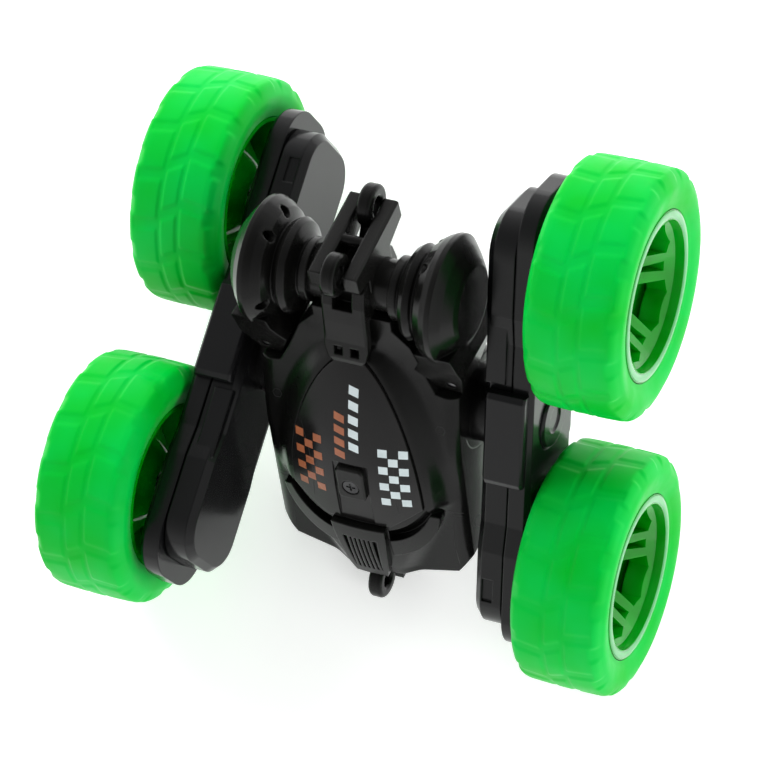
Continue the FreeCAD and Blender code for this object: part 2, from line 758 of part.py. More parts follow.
def chassis_outline(inset, front_y, rear_y):
    half = [(12.0 - inset, front_y - inset), (12.0 - inset, 36.0 - 0.4 * inset), (17.0 - inset, 31.0),
            (21.5 - inset, 21.0 - 0.4 * inset), (24.0 - inset, 16.6 - inset),
            (HALF_WIDTH - inset, 15.4 - inset), (HALF_WIDTH - inset, -46.0),
            (26.0 - 0.8 * inset, rear_y + 5.0 + 0.7 * inset), (14.0 - 0.5 * inset, rear_y + 1.5 + inset),
            (8.0, rear_y + inset)]
    return mirrored_outline(half)


def door_outline(grow):
    """Plan outline of the battery door: a smooth point at the front, a shallow V at the back."""
    ys = [DOOR_FRONT_Y, 21.0, 14.0, 4.0, -8.0, DOOR_WIDEST_Y]
    side = [V(door_half_width(y) + grow, y, 0) for y in ys]
    side[0].y = DOOR_FRONT_Y + grow
    curve = Part.BSplineCurve()
    curve.interpolate(side)
    back = V(10.0, -30.6 - grow, 0)
    edges = [curve.toShape(), Part.makeLine(side[-1], back)]
    flipped = [edge.mirror(V(0, 0, 0), V(1, 0, 0)) for edge in edges]
    front = Part.makeLine(V(-side[0].x, side[0].y, 0), side[0])
    rear = Part.makeLine(back, V(-back.x, back.y, 0))
    return Part.Face(Part.Wire(Part.__sortEdges__(edges + flipped + [front, rear])))


def door_prism(grow, z0, z1):
    face = door_outline(grow)
    face.translate(V(0, 0, z0))
    return face.extrude(V(0, 0, z1 - z0))


def turn_over(shape):
    return shape.mirror(V(0, 0, MID), V(0, 0, 1))


DOOR_PROUD = 0.4
DOOR_THICK = SIZES["door_thickness"]
DOOR_SEAT = DOOR_PROUD - DOOR_THICK - 0.05
NOSE_Y = 39.5
TAIL_Y = -57.4
HATCH_INSET = -3.2
BEARING_X = (21.6, 30.5)
BOARD_TOP = -3.4
SHELL_SCREWS = [(24.5, -43.0), (-24.5, -43.0), (11.5, 34.0), (-11.5, 34.0)]
BOARD_POSTS = [(10.0, -23.0), (-10.0, -23.0), (10.0, 7.0), (-10.0, 7.0)]


def cylinder(x, y, z0, z1, radius):
    return Part.makeCylinder(radius, z1 - z0, V(x, y, z0), V(0, 0, 1))


def rod_shape(x0, x1, radius, y=0.0, z=0.0):
    return Part.makeCylinder(radius, x1 - x0, V(x0, y, z), V(1, 0, 0))


def block(x0, x1, y0, y1, z0, z1):
    return Part.makeBox(x1 - x0, y1 - y0, z1 - z0, V(x0, y0, z0))


def bearing_housing(z0, z1):
    """Half ring round each pivot bearing, between two heights."""
    rings = []
    for way in (1, -1):
        x0, x1 = sorted((way * BEARING_X[0], way * BEARING_X[1]))
        ring = rod_shape(x0, x1, SIZES["bearing_radius"] + 2.8)
        rings.append(ring.common(block(x0 - 1, x1 + 1, -20, 20, z0, z1)))
    return rings


def pivot_bores():
    """Holes for the bearings, with room inside for the hub collars."""
    tools = []
    for way in (1, -1):
        x0, x1 = sorted((way * BEARING_X[0], way * (BEARING_X[1] + 4)))
        tools.append(rod_shape(x0, x1, SIZES["bearing_radius"]))
        x0, x1 = sorted((way * (SIZES["hub_inner_u"] - 1.5), way * BEARING_X[0]))
        tools.append(rod_shape(x0, x1, SIZES["hub_bore"] + 4.2))
    return tools


def curve_between(points):
    line = Part.BSplineCurve()
    line.interpolate([V(x, y, 0) for x, y in points])
    return line.toShape()


def crescent(inner, outer, z0, z1):
    """Solid between two curved plan lines that run side by side, on both sides of the car."""
    ends = [Part.makeLine(V(*inner[k], 0), V(*outer[k], 0)) for k in (0, -1)]
    edges = [curve_between(inner), curve_between(outer)] + ends
    face = Part.Face(Part.Wire(Part.__sortEdges__(edges)))
    face.translate(V(0, 0, z0))
    half = face.extrude(V(0, 0, z1 - z0))
    return [half, half.mirror(V(0, 0, 0), V(1, 0, 0))]


# Plan lines of the tail fairing, from the vent round to the flank: groove behind the door, then a ledge.
GROOVE_FRONT = [(8.6, -33.2), (12.6, -31.4), (17.0, -27.6), (20.9, -22.6)]
GROOVE_BACK = [(8.6, -37.4), (13.2, -35.6), (18.2, -31.2), (22.0, -24.6)]
LEDGE_BACK = [(8.6, -45.0), (15.4, -41.8), (21.4, -35.0), (24.6, -25.4)]


def tail_fairing(bottom, top):
    return [half.common(layer(crown, bottom, top)) for half in crescent(GROOVE_BACK, LEDGE_BACK, 0, 60)]


def tail_groove():
    return [half.common(layer(crown, -2.6, 10)) for half in crescent(GROOVE_FRONT, GROOVE_BACK, 0, 60)]


def upper_shell():
    outline = prism(chassis_outline(0, NOSE_Y, TAIL_Y), 0, 45)
    body = outline.common(layer(skin, -60, 0))
    room = prism(chassis_outline(WALL, NOSE_Y, TAIL_Y), -1, 45).common(layer(cavity_skin, -60, 0))
    body = body.cut(room)
    inside_top = prism(chassis_outline(0.5, NOSE_Y, TAIL_Y), 0, 45).common(layer(skin, -60, -0.8))
    posts = [cylinder(x, y, 0, 30, 3.3).common(inside_top) for x, y in SHELL_SCREWS]
    body = body.fuse(bearing_housing(0, 30) + posts + tail_fairing(-6.0, 0.5))
    body = body.cut(tail_groove())
    body = body.cut(door_prism(0.2, 0, 60).common(layer(crown, DOOR_SEAT, 10)))
    body = body.cut(door_prism(HATCH_INSET, 5, 40))
    body = body.cut(pivot_bores())
    body = body.cut(rod_shape(-40, 40, SIZES["crossbar_radius"] + 0.05, SIZES["crossbar_y"], MID))
    holes = [cylinder(x, y, -1, 9, 1.22) for x, y in SHELL_SCREWS]
    return body.cut(holes)


def lower_shell():
    body = prism(chassis_outline(0, NOSE_Y, TAIL_Y + 3), -45, 0).common(layer(underside(skin), 0, 60))
    room = prism(chassis_outline(WALL, NOSE_Y, TAIL_Y + 3), -45, 1)
    body = body.cut(room.common(layer(underside(cavity_skin), 0, 60)))
    inside = prism(chassis_outline(0.5, NOSE_Y, TAIL_Y + 3), -45, 0).common(layer(underside(skin), 0.8, 60))
    posts = [cylinder(x, y, -30, 0, 3.6).common(inside) for x, y in SHELL_SCREWS]
    posts += [cylinder(x, y, -30, BOARD_TOP - 1.2, 1.8).common(inside) for x, y in BOARD_POSTS]
    body = body.fuse(bearing_housing(-30, 0) + posts)
    body = body.cut(turn_over(door_prism(0.2, 0, 60).common(layer(crown, DOOR_SEAT, 10))))
    body = body.cut(block(-6, 6, -19, 12, -40, -8))
    body = body.cut(pivot_bores())
    body = body.cut(rod_shape(-40, 40, SIZES["crossbar_radius"] + 0.05, SIZES["crossbar_y"], MID))
    for x, y in SHELL_SCREWS:
        floor = underside(skin)(x, y)
        body = body.cut(cylinder(x, y, -40, floor + 1.4, 2.6))
        body = body.cut(cylinder(x, y, -40, 1, 1.3))
    return body


def body_screws():
    screws = []
    for x, y in SHELL_SCREWS:
        seat = underside(skin)(x, y) + 1.4
        screw = cylinder(x, y, seat - 1.4, seat, 2.3).fuse(cylinder(x, y, seat, 8, 1.2))
        slots = [block(x - 1.5, x + 1.5, y - 0.3, y + 0.3, seat - 2, seat - 0.7),
                 block(x - 0.3, x + 0.3, y - 1.5, y + 1.5, seat - 2, seat - 0.7)]
        screws.append(screw.cut(slots))
    return Part.makeCompound(screws)


LATCH_Y = (-20.2, -8.0)
LATCH_FLOOR = 28.0


def battery_door():
    door = door_prism(0, 0, 60).common(layer(crown, DOOR_PROUD - DOOR_THICK, DOOR_PROUD))
    door = door.cut(block(-5.4, 5.4, -40, LATCH_Y[1] + 0.8, LATCH_FLOOR, 40))
    return door.cut(cylinder(0, -15.2, 0, 40, 1.3))


def door_latch():
    latch = block(-4.4, 4.4, LATCH_Y[0], LATCH_Y[1], LATCH_FLOOR + 0.03, LATCH_FLOOR + 1.8)
    corners = [edge for edge in latch.Edges if edge.BoundBox.ZLength > 1]
    latch = latch.makeFillet(1.6, corners)
    latch = latch.makeChamfer(0.5, [edge for edge in latch.Edges if edge.BoundBox.ZMin > LATCH_FLOOR + 1.7])
    latch = latch.cut(cylinder(0, -15.2, LATCH_FLOOR + 0.9, 40, 2.7))
    return latch.cut(cylinder(0, -15.2, 0, 40, 1.3))


def door_screw():
    seat = LATCH_FLOOR + 0.95
    screw = cylinder(0, -15.2, seat, seat + 0.7, 2.4).fuse(cylinder(0, -15.2, 20.0, seat, 1.15))
    slots = [block(-1.4, 1.4, -15.5, -14.9, seat + 0.3, 40), block(-0.3, 0.3, -16.6, -13.8, seat + 0.3, 40)]
    return screw.cut(slots)


SWITCH_Y = -11.0
SWITCH_TRAVEL = 3.0
SOCKET_Y = 4.0


def belly_panel():
    panel = turn_over(door_prism(0, 0, 60).common(layer(crown, DOOR_PROUD - DOOR_THICK, DOOR_PROUD)))
    panel = panel.cut(block(-1.9, 1.9, SWITCH_Y - 2.6, SWITCH_Y + 2.6 + SWITCH_TRAVEL, -40, 0))
    return panel.cut(block(-4.5, 4.5, SOCKET_Y - 1.7, SOCKET_Y + 1.7, -40, 0))


def panel_inside(y):
    """Height of the inner face of the belly panel on the centre line."""
    return 2 * MID - (crown(0, y) + DOOR_PROUD) + DOOR_THICK


def switch_knob():
    """Thumb knob through the slot, on a plate that slides above the curved panel."""
    reach = 4.4
    low = panel_inside(SWITCH_Y + SWITCH_TRAVEL + reach) + 0.3
    top = low + 0.8
    tip = panel_inside(SWITCH_Y) - DOOR_THICK - 1.6
    knob = block(-1.6, 1.6, SWITCH_Y - 2.2, SWITCH_Y + 2.2, tip, top)
    ridges = [block(-2, 2, SWITCH_Y + k - 0.3, SWITCH_Y + k + 0.3, tip - 1, tip + 0.5) for k in (-1.1, 0, 1.1)]
    plate = block(-3.6, 3.6, SWITCH_Y - reach, SWITCH_Y + reach, low, top)
    return knob.fuse(plate).cut(ridges)


def charge_socket():
    low = panel_inside(SOCKET_Y)
    shell = block(-4.2, 4.2, SOCKET_Y - 1.5, SOCKET_Y + 1.5, low - 1.9, low + 4.6)
    mouth = block(-3.6, 3.6, SOCKET_Y - 1.0, SOCKET_Y + 1.0, low - 3, low + 3.4)
    tongue = block(-2.4, 2.4, SOCKET_Y - 0.3, SOCKET_Y + 0.3, low - 1.0, low + 3.4)
    return shell.cut(mouth).fuse(tongue)


VENT_Y = (-56.5, -31.6)


def tail_vent():
    """Ribbed block that closes the tail behind the door."""
    outline = mirrored_outline([(8.4, VENT_Y[1]), (8.0, -38.0), (6.2, -52.0), (5.0, VENT_Y[0])])
    window = mirrored_outline([(5.4, -37.0), (4.2, -53.0)])
    base = prism(outline, 0, 60).common(layer(crown, -0.27, 2.1))
    base = base.cut(prism(window, 0, 60).common(layer(crown, 0.7, 10)))
    ribs = [block(x - 0.42, x + 0.42, -54.0, -36.0, 0, 60) for x in (-3.6, -2.16, -0.72, 0.72, 2.16, 3.6)]
    fins = Part.makeCompound(ribs).common(layer(crown, 0.5, 2.1)).common(prism(window, 0, 60))
    return base.fuse(fins.Solids)


EYE_THICKNESS = 4.4


def eye(y, z):
    """Tow eye: a rounded ring in the plane of travel with a short straight bore."""
    outer = SIZES["eye_radius"] + SIZES["eye_wire"]
    inner = SIZES["eye_radius"] - SIZES["eye_wire"]
    ring = rod_shape(-EYE_THICKNESS / 2, EYE_THICKNESS / 2, outer, y, z)
    ring = ring.cut(rod_shape(-5, 5, inner, y, z))
    return ring.makeFillet(1.2, [edge for edge in ring.Edges if len(edge.Vertexes) == 1])


TAIL_EYE = (-63.8, 20.0)
FRONT_EYES = ((59.3, 19.4), (62.2, -6.6))


def tail_eye():
    y, z = TAIL_EYE
    bar_radius = 1.3
    bar_y = TAIL_Y - bar_radius - 0.05
    bars = [rod_shape(-8.0, -1.0, bar_radius, bar_y, z), rod_shape(1.0, 8.0, bar_radius, bar_y, z)]
    lugs = [block(x - 1.3, x + 1.3, bar_y - bar_radius, TAIL_Y - 0.05, z - 1.5, z + 1.5) for x in (-6.7, 6.7)]
    return eye(y, z).fuse(bars + lugs)


def side_prism(points, x0, x1):
    """Side outline (y, z) swept along x."""
    corners = [V(x0, y, z) for y, z in points]
    return Part.Face(Part.makePolygon(corners + corners[:1])).extrude(V(x1 - x0, 0, 0))


BAR_X = (2.9, 7.4)


def front_bumper():
    """Two upright bars with a tow eye between them at each end, seated on the crossbar."""
    side = [(60.4, 21.2), (54.8, 20.4), (53.8, 13.5), (48.8, 13.5), (48.8, -0.7), (54.4, -0.7),
            (57.6, -9.6), (63.6, -8.8)]
    bars = []
    for way in (1, -1):
        bar = side_prism(side, BAR_X[0] * way, BAR_X[1] * way)
        long_edges = [edge for edge in bar.Edges
                      if edge.BoundBox.XLength < 0.01 and edge.BoundBox.ZLength > 25]
        bars.append(bar.makeChamfer(0.5, long_edges))
    web = block(-BAR_X[0], BAR_X[0], 50.0, 54.2, 0.0, 12.6)
    cross_pin = rod_shape(-BAR_X[0] - 0.5, BAR_X[0] + 0.5, 1.7, 60.0, MID)
    struts = [side_prism([(52.9, 11.6), (54.2, 11.6), (57.0, 15.0), (54.6, 18.2), (52.9, 17.0)], -1.6, 1.6),
              side_prism([(52.9, 1.2), (54.2, 1.2), (59.0, -2.4), (56.8, -5.4), (53.6, -2.4)], -1.6, 1.6)]
    bumper = bars[0].fuse(bars[1:] + [web, cross_pin] + struts + [eye(y, z) for y, z in FRONT_EYES])
    return bumper.cut(rod_shape(-20, 20, SIZES["crossbar_radius"] + 0.03, SIZES["crossbar_y"], MID))


STRAP_HALF = 6.6


def front_strap():
    """Saddle strap from the crossbar back over the nose of the shell."""
    side = [(52.4, 14.6), (50.8, 16.9), (46.0, 18.4), (40.0, 18.9), (33.0, 19.3), (27.4, 20.3), (25.6, 20.0),
            (25.6, 18.2), (28.0, 18.1), (33.0, 16.6), (39.9, 15.8), (39.9, 12.2), (48.4, 12.2), (48.4, 13.8),
            (52.4, 13.8)]
    strap = side_prism(side, -STRAP_HALF, STRAP_HALF)
    half_plan = [(STRAP_HALF, 53.0), (STRAP_HALF, 31.0), (STRAP_HALF - 0.8, 27.8), (STRAP_HALF - 2.4, 25.0)]
    strap = strap.common(prism(mirrored_outline(half_plan), 0, 40))
    shoulders = [edge for edge in strap.Edges
                 if edge.BoundBox.XLength < 0.01 and edge.BoundBox.YLength > 4 and edge.BoundBox.ZMin > 16.7]
    strap = strap.makeChamfer(0.6, shoulders)
    strap = strap.cut(rod_shape(-20, 20, SIZES["crossbar_radius"] + 0.03, SIZES["crossbar_y"], MID))
    strap = strap.cut(block(-3.0, 3.0, 44.6, 51.4, 14.6, 40))
    slots = [block(x - 1.3, x + 1.3, 28.4, 31.4, 10, 40) for x in (-2.5, 2.5)]
    return strap.cut(slots)


def crossbar():
    bar = rod_shape(-17.2, 17.2, SIZES["crossbar_radius"], SIZES["crossbar_y"], MID)
    return bar.cut(rod_shape(-20, 20, SIZES["crossbar_radius"] - 1.9, SIZES["crossbar_y"], MID))


def nose_dome(name):
    """Stepped disc on the end of the crossbar, drawn as a revolution about it."""
    body = new_body(name)
    profile = new_sketch(body, "XY_Plane", name + "_section")
    seat = size("crossbar_radius") + 0.05
    rim = size("dome_radius")
    draw_polygon(profile, [
        (12.4, seat), (12.4, 9.2), (14.6, 9.2), (15.2, 8.7), (16.2, 10.6), (17.2, 12.9), (18.8, 13.9),
        (20.4, 13.1), (21.2, 12.4), (23.0, 15.9), (25.4, rim - 0.9), (27.4, rim), (28.8, rim),
        (31.2, rim - 2.8), (33.6, 12.4), (34.4, 10.8), (34.4, 0), (32.6, 0), (32.6, 10.2), (29.8, 14.6),
        (28.2, rim - 1.9), (27.0, rim - 2.0), (24.2, 14.2), (22.2, 10.8), (20.4, 11.0), (18.6, 11.3),
        (17.6, seat)])
    revolve(body, profile)
    reach = 15.3
    spots = [(reach * math.cos(math.radians(turn)), reach * math.sin(math.radians(turn)))
             for turn in (20, 100, 160, 200, 260, 340)]
    holes = circles(body, "YZ_Plane", name + "_holes", 26.4, spots, 1.6)
    pocket(body, holes, 6)
    return body


def dome_tail():
    """Tapered tail that runs from a dome back along the shoulder of the chassis."""
    plan = prism([(22.6, 38.0), (33.2, 38.0), (33.8, 27.0), (30.8, 16.2), (24.6, 17.0), (22.3, 21.4),
                  (19.6, 27.2), (22.6, 33.0)], -40, 60)
    side = side_prism([(40.0, 23.4), (30.0, 19.4), (16.0, 12.8), (15.0, 11.0), (15.0, 1.8), (16.0, 0.0),
                       (30.0, -6.6), (40.0, -10.6)], 10, 40)
    holes = [cylinder(28.6, 20.6, 11.5, 30, 1.8), cylinder(28.6, 20.6, -30, 1.3, 1.8)]
    return plan.common(side).cut(holes)


def dome_screws(way):
    screws = []
    for flip in (False, True):
        screw = cylinder(28.6 * way, 20.6, 11.6, 13.6, 1.7)
        screw = screw.cut(block(28.6 * way - 1.2, 28.6 * way + 1.2, 20.35, 20.85, 13.0, 20))
        screws.append(turn_over(screw) if flip else screw)
    return screws


def hub_bearings():
    rings = []
    for way in (1, -1):
        x0, x1 = sorted((way * (BEARING_X[0] + 0.05), way * BEARING_X[1]))
        ring = rod_shape(x0, x1, SIZES["bearing_radius"] - 0.05)
        rings.append(ring.cut(rod_shape(x0 - 1, x1 + 1, SIZES["hub_radius"] + SIZES["bore_play"])))
    return Part.makeCompound(rings)


CELL_Z = 8.6
CELL_Y = (-27.5, SIZES["battery_cell_length"] - 27.5)


def battery_pack():
    """Two round cells side by side in a shrink sleeve that leaves their ends bare."""
    radius = SIZES["battery_cell_radius"]
    length = SIZES["battery_cell_length"]
    film = 0.25
    bare = 0.6
    apart = radius + 0.15
    low_y = CELL_Y[0]
    pieces = []
    for x in (-apart, apart):
        foot = V(x, low_y, CELL_Z)
        pieces.append(Part.makeCylinder(radius, length, foot, V(0, 1, 0)))
        pieces.append(Part.makeCylinder(2.6, 1.0, foot + V(0, length, 0), V(0, 1, 0)))
        pieces.append(Part.makeCylinder(radius + film, length - 2 * bare, foot + V(0, bare, 0), V(0, 1, 0)))
    sleeve = block(-apart, apart, low_y + bare, low_y + length - bare, CELL_Z - radius - film / 2,
                   CELL_Z + radius + film / 2)
    return sleeve.fuse(pieces)


def main_board():
    board = block(-12, 12, -26, 10, BOARD_TOP - 1.15, BOARD_TOP)
    for x, y in BOARD_POSTS:
        board = board.cut(cylinder(x, y, -10, 0, 0.9))
    chips = [(-6, 2, -16, -8, 1.6), (5, 10, -18, -13, 1.2), (4, 9, -6, 2, 2.2), (-10, -6, -1, 4, 2.6),
             (0, 3, 4, 8, 1.4), (-10, -8, -19, -15, 3.0)]
    parts = [block(x0, x1, y0, y1, BOARD_TOP, BOARD_TOP + z) for x0, x1, y0, y1, z in chips]
    return board.fuse(parts)


def battery_leads():
    """Two insulated leads from the cells round and down to the board."""
    turn = 1.6
    corner = turn * (1 - math.sqrt(0.5))
    out_y = CELL_Y[1] + 1.3 + turn
    low_z = BOARD_TOP + 1.2
    leads = []
    for x in (-2.2, 2.2):
        top = CELL_Z - 2.0
        first = Part.Arc(V(x, out_y - turn, top), V(x, out_y - corner, top - corner), V(x, out_y, top - turn))
        second = Part.Arc(V(x, out_y, low_z + turn), V(x, out_y - corner, low_z + corner),
                          V(x, out_y - turn, low_z))
        path = Part.Wire([first.toShape(),
                          Part.makeLine(V(x, out_y, top - turn), V(x, out_y, low_z + turn)),
                          second.toShape(),
                          Part.makeLine(V(x, out_y - turn, low_z), V(x, 10.3, low_z))])
        section = Part.Wire([Part.makeCircle(0.65, V(x, out_y - turn, top), V(0, 1, 0))])
        leads.append(path.makePipeShell([section], True, True))
    return Part.makeCompound(leads)


chassis_pieces = {
    "upper_shell": upper_shell, "lower_shell": lower_shell, "battery_door": battery_door,
    "door_latch": door_latch, "door_screw": door_screw, "belly_panel": belly_panel,
    "charge_socket": charge_socket, "tail_vent": tail_vent, "tail_tow_eye": tail_eye,
    "front_bumper": front_bumper, "nose_crossbar": crossbar, "body_screws": body_screws,
    "pivot_bearings": hub_bearings, "battery_pack": battery_pack, "main_board": main_board,
    "battery_leads": battery_leads, "power_switch": switch_knob,
}
for label, make in chassis_pieces.items():
    node(plain(label, make()), label, CHASSIS)

strap = front_strap()
node(plain("front_straps", Part.makeCompound([strap, turn_over(strap)])), "front_straps", CHASSIS)

for side in ("left", "right"):
    disc = nose_dome("dome_disc_" + side)
    disc.Placement = FreeCAD.Placement(V(0, SIZES["crossbar_y"], MID), FreeCAD.Rotation())
    tail = plain("dome_tail_" + side, dome_tail())
    whole = fuse("dome_right_handed_" + side, [disc, tail])
    if side == "left":
        flipped = doc.addObject("Part::Mirroring", "dome_left_handed")
        flipped.Source = whole
        flipped.Normal = V(1, 0, 0)
        whole = flipped
    node(whole, "nose_dome_" + side, CHASSIS)
screws = dome_screws(1) + dome_screws(-1)
node(plain("dome_screws", Part.makeCompound(screws)), "dome_screws", CHASSIS)

# ---------------------------------------------------------------- check and write
doc.recompute()
for obj in doc.Objects:
    if "Invalid" in obj.State or "Error" in obj.State:
        raise RuntimeError("%s failed: %s" % (obj.Name, obj.State))
os.makedirs("parts", exist_ok=True)
for obj in nodes:
    shape = obj.Shape
    if shape.isNull() or not shape.isValid():
        raise RuntimeError("bad shape: " + obj.Label)
    print("%-28s solids %2d  faces %4d  volume %9.1f mm3"
          % (obj.Label, len(shape.Solids), len(shape.Faces), shape.Volume))
    shape.exportStep("parts/%s.step" % obj.Label)
print("nodes", len(nodes), "tilt %.3f" % tilt, "pivot height %.3f" % pivot_height)
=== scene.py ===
import json
import math

import bmesh
import bpy
from mathutils import Matrix, Vector
from mathutils.bvhtree import BVHTree


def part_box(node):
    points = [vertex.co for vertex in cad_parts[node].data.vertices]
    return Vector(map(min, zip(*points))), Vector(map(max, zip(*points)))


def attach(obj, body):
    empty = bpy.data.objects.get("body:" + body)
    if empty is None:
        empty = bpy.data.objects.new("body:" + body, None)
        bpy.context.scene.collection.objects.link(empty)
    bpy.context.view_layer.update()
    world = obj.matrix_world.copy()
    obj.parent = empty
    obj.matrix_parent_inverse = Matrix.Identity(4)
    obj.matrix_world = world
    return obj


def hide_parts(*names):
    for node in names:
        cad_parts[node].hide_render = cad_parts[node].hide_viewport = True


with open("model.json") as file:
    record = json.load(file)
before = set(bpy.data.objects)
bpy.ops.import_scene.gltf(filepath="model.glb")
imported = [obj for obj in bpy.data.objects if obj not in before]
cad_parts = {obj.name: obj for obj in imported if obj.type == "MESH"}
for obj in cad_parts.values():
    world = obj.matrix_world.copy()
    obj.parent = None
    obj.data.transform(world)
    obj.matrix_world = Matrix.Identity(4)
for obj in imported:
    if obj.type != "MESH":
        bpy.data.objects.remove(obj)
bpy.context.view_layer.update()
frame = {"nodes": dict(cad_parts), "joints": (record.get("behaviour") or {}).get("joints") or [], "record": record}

MM = 0.001
JOINTS = {joint["name"]: joint for joint in frame["joints"]}


# ---------------------------------------------------------------- frames
def frame_at(origin, x_axis, y_axis):
    """Matrix of a local frame given by its origin, x axis and rough y axis."""
    x = Vector(x_axis).normalized()
    z = x.cross(Vector(y_axis)).normalized()
    y = z.cross(x)
    return Matrix.Translation(origin) @ Matrix((x, y, z)).transposed().to_4x4()


PIVOT = Vector(JOINTS["left_arm_swing"]["pos_m"])
ACROSS = Vector(JOINTS["left_arm_swing"]["axis"])
# The switch slides along the chassis, so its axis is the chassis' own y axis.
CHASSIS = frame_at(PIVOT, ACROSS, JOINTS["power_switch_slide"]["axis"])


# ---------------------------------------------------------------- materials
def start_material(name, color, roughness):
    material = bpy.data.materials.new(name)
    material.use_nodes = True
    shader = material.node_tree.nodes["Principled BSDF"]
    shader.inputs["Base Color"].default_value = (*color, 1)
    shader.inputs["Roughness"].default_value = roughness
    return material, shader


def noise(material, scale, detail=3.0, stretch=(1, 1, 1)):
    nodes, links = material.node_tree.nodes, material.node_tree.links
    place = nodes.new("ShaderNodeTexCoord")
    mapping = nodes.new("ShaderNodeMapping")
    mapping.inputs["Scale"].default_value = stretch
    texture = nodes.new("ShaderNodeTexNoise")
    texture.inputs["Scale"].default_value = scale
    texture.inputs["Detail"].default_value = detail
    links.new(place.outputs["Object"], mapping.inputs["Vector"])
    links.new(mapping.outputs["Vector"], texture.inputs["Vector"])
    return texture.outputs["Fac"]


def spread(material, source, low, high, start=0.35, end=0.65):
    """Map a 0 to 1 value onto the range low to high."""
    node = material.node_tree.nodes.new("ShaderNodeMapRange")
    node.inputs["From Min"].default_value = start
    node.inputs["From Max"].default_value = end
    node.inputs["To Min"].default_value = low
    node.inputs["To Max"].default_value = high
    material.node_tree.links.new(source, node.inputs["Value"])
    return node.outputs["Result"]


def two_tone(material, factor, first, second):
    node = material.node_tree.nodes.new("ShaderNodeMix")
    node.data_type = "RGBA"
    node.inputs[6].default_value = (*first, 1)
    node.inputs[7].default_value = (*second, 1)
    material.node_tree.links.new(factor, node.inputs[0])
    return node.outputs[2]


def bumped(material, shader, source, strength, distance, round_edge=0.0):
    """Fine relief, over edges rounded by round_edge metres."""
    bump = material.node_tree.nodes.new("ShaderNodeBump")
    if round_edge:
        bevel = material.node_tree.nodes.new("ShaderNodeBevel")
        bevel.samples = 6
        bevel.inputs["Radius"].default_value = round_edge
        material.node_tree.links.new(bevel.outputs["Normal"], bump.inputs["Normal"])
    bump.inputs["Strength"].default_value = strength
    bump.inputs["Distance"].default_value = distance
    material.node_tree.links.new(source, bump.inputs["Height"])
    material.node_tree.links.new(bump.outputs["Normal"], shader.inputs["Normal"])


def edge_light(material, first, second, sharp):
    """Blend from first to second at convex edges: a painted highlight where the edges would catch light."""
    nodes = material.node_tree.nodes
    geometry = nodes.new("ShaderNodeNewGeometry")
    convex = spread(material, geometry.outputs["Pointiness"], 0, 1, 0.5, sharp)
    return two_tone(material, convex, first, second)


def plastic(name, color, wear_and_highlight, roughness, grain=900, bump=0.12, shine=0.35, round_edge=0.0004):
    """Moulded plastic: fine grain, patchy gloss and a painted highlight of lighter colour along convex edges."""
    material, shader = start_material(name, color, roughness)
    links = material.node_tree.links
    # Convex edges take the second, lighter colour: a painted highlight.
    links.new(edge_light(material, color, wear_and_highlight, 0.62), shader.inputs["Base Color"])
    links.new(spread(material, noise(material, 60), roughness * 0.82, roughness * 1.25),
              shader.inputs["Roughness"])
    bumped(material, shader, noise(material, grain, 2), bump, 0.0002, round_edge)
    shader.inputs["Specular IOR Level"].default_value = shine
    return material


def metal(name, color, roughness, scale=400, stretch=(1, 1, 1)):
    material, shader = start_material(name, color, roughness)
    shader.inputs["Metallic"].default_value = 1.0
    grain = noise(material, scale, 4, stretch)
    material.node_tree.links.new(spread(material, grain, roughness * 0.7, roughness * 1.5),
                                 shader.inputs["Roughness"])
    darker = tuple(0.7 * c for c in color)
    cloudy = spread(material, noise(material, 90), 0, 1)
    material.node_tree.links.new(two_tone(material, cloudy, color, darker), shader.inputs["Base Color"])
    bumped(material, shader, grain, 0.15, 0.0001)
    return material


def tyre_rubber():
    """Soft tinted rubber that glows a little where it is thin."""
    material, shader = start_material("tyre_rubber", (0.0, 0.5, 0.04), 0.5)
    links = material.node_tree.links
    cloudy = spread(material, noise(material, 45, 2), 0, 1)
    links.new(two_tone(material, cloudy, (0.0, 0.47, 0.025), (0.0, 0.53, 0.06)), shader.inputs["Base Color"])
    links.new(spread(material, noise(material, 120), 0.36, 0.5), shader.inputs["Roughness"])
    shader.inputs["Subsurface Weight"].default_value = 0.15
    shader.inputs["Subsurface Radius"].default_value = (0.1, 1.0, 0.25)
    shader.inputs["Subsurface Scale"].default_value = 0.004
    shader.inputs["Specular IOR Level"].default_value = 0.1
    bumped(material, shader, noise(material, 1400, 2), 0.08, 0.0001)
    return material


def rim_plastic(name, deep, pale, glow):
    material, shader = start_material(name, deep, 0.09)
    links = material.node_tree.links
    cloudy = spread(material, noise(material, 70, 2), 0, 1)
    links.new(two_tone(material, cloudy, deep, pale), shader.inputs["Base Color"])
    links.new(spread(material, noise(material, 150), 0.06, 0.16), shader.inputs["Roughness"])
    shader.inputs["Subsurface Weight"].default_value = glow
    shader.inputs["Subsurface Radius"].default_value = (0.05, 1.0, 0.1)
    shader.inputs["Subsurface Scale"].default_value = 0.006
    shader.inputs["IOR"].default_value = 1.49
    bumped(material, shader, noise(material, 300, 2), 0.03, 0.0002)
    return material


def circuit_board():
    material, shader = start_material("board", (0.01, 0.16, 0.05), 0.35)
    nodes, links = material.node_tree.nodes, material.node_tree.links
    cells = nodes.new("ShaderNodeTexBrick")
    cells.inputs["Scale"].default_value = 260
    cells.inputs["Color1"].default_value = (0.012, 0.17, 0.05, 1)
    cells.inputs["Color2"].default_value = (0.008, 0.12, 0.04, 1)
    cells.inputs["Mortar"].default_value = (0.05, 0.3, 0.1, 1)
    place = nodes.new("ShaderNodeTexCoord")
    links.new(place.outputs["Object"], cells.inputs["Vector"])
    links.new(cells.outputs["Color"], shader.inputs["Base Color"])
    bumped(material, shader, cells.outputs["Fac"], 0.3, 0.0001)
    return material


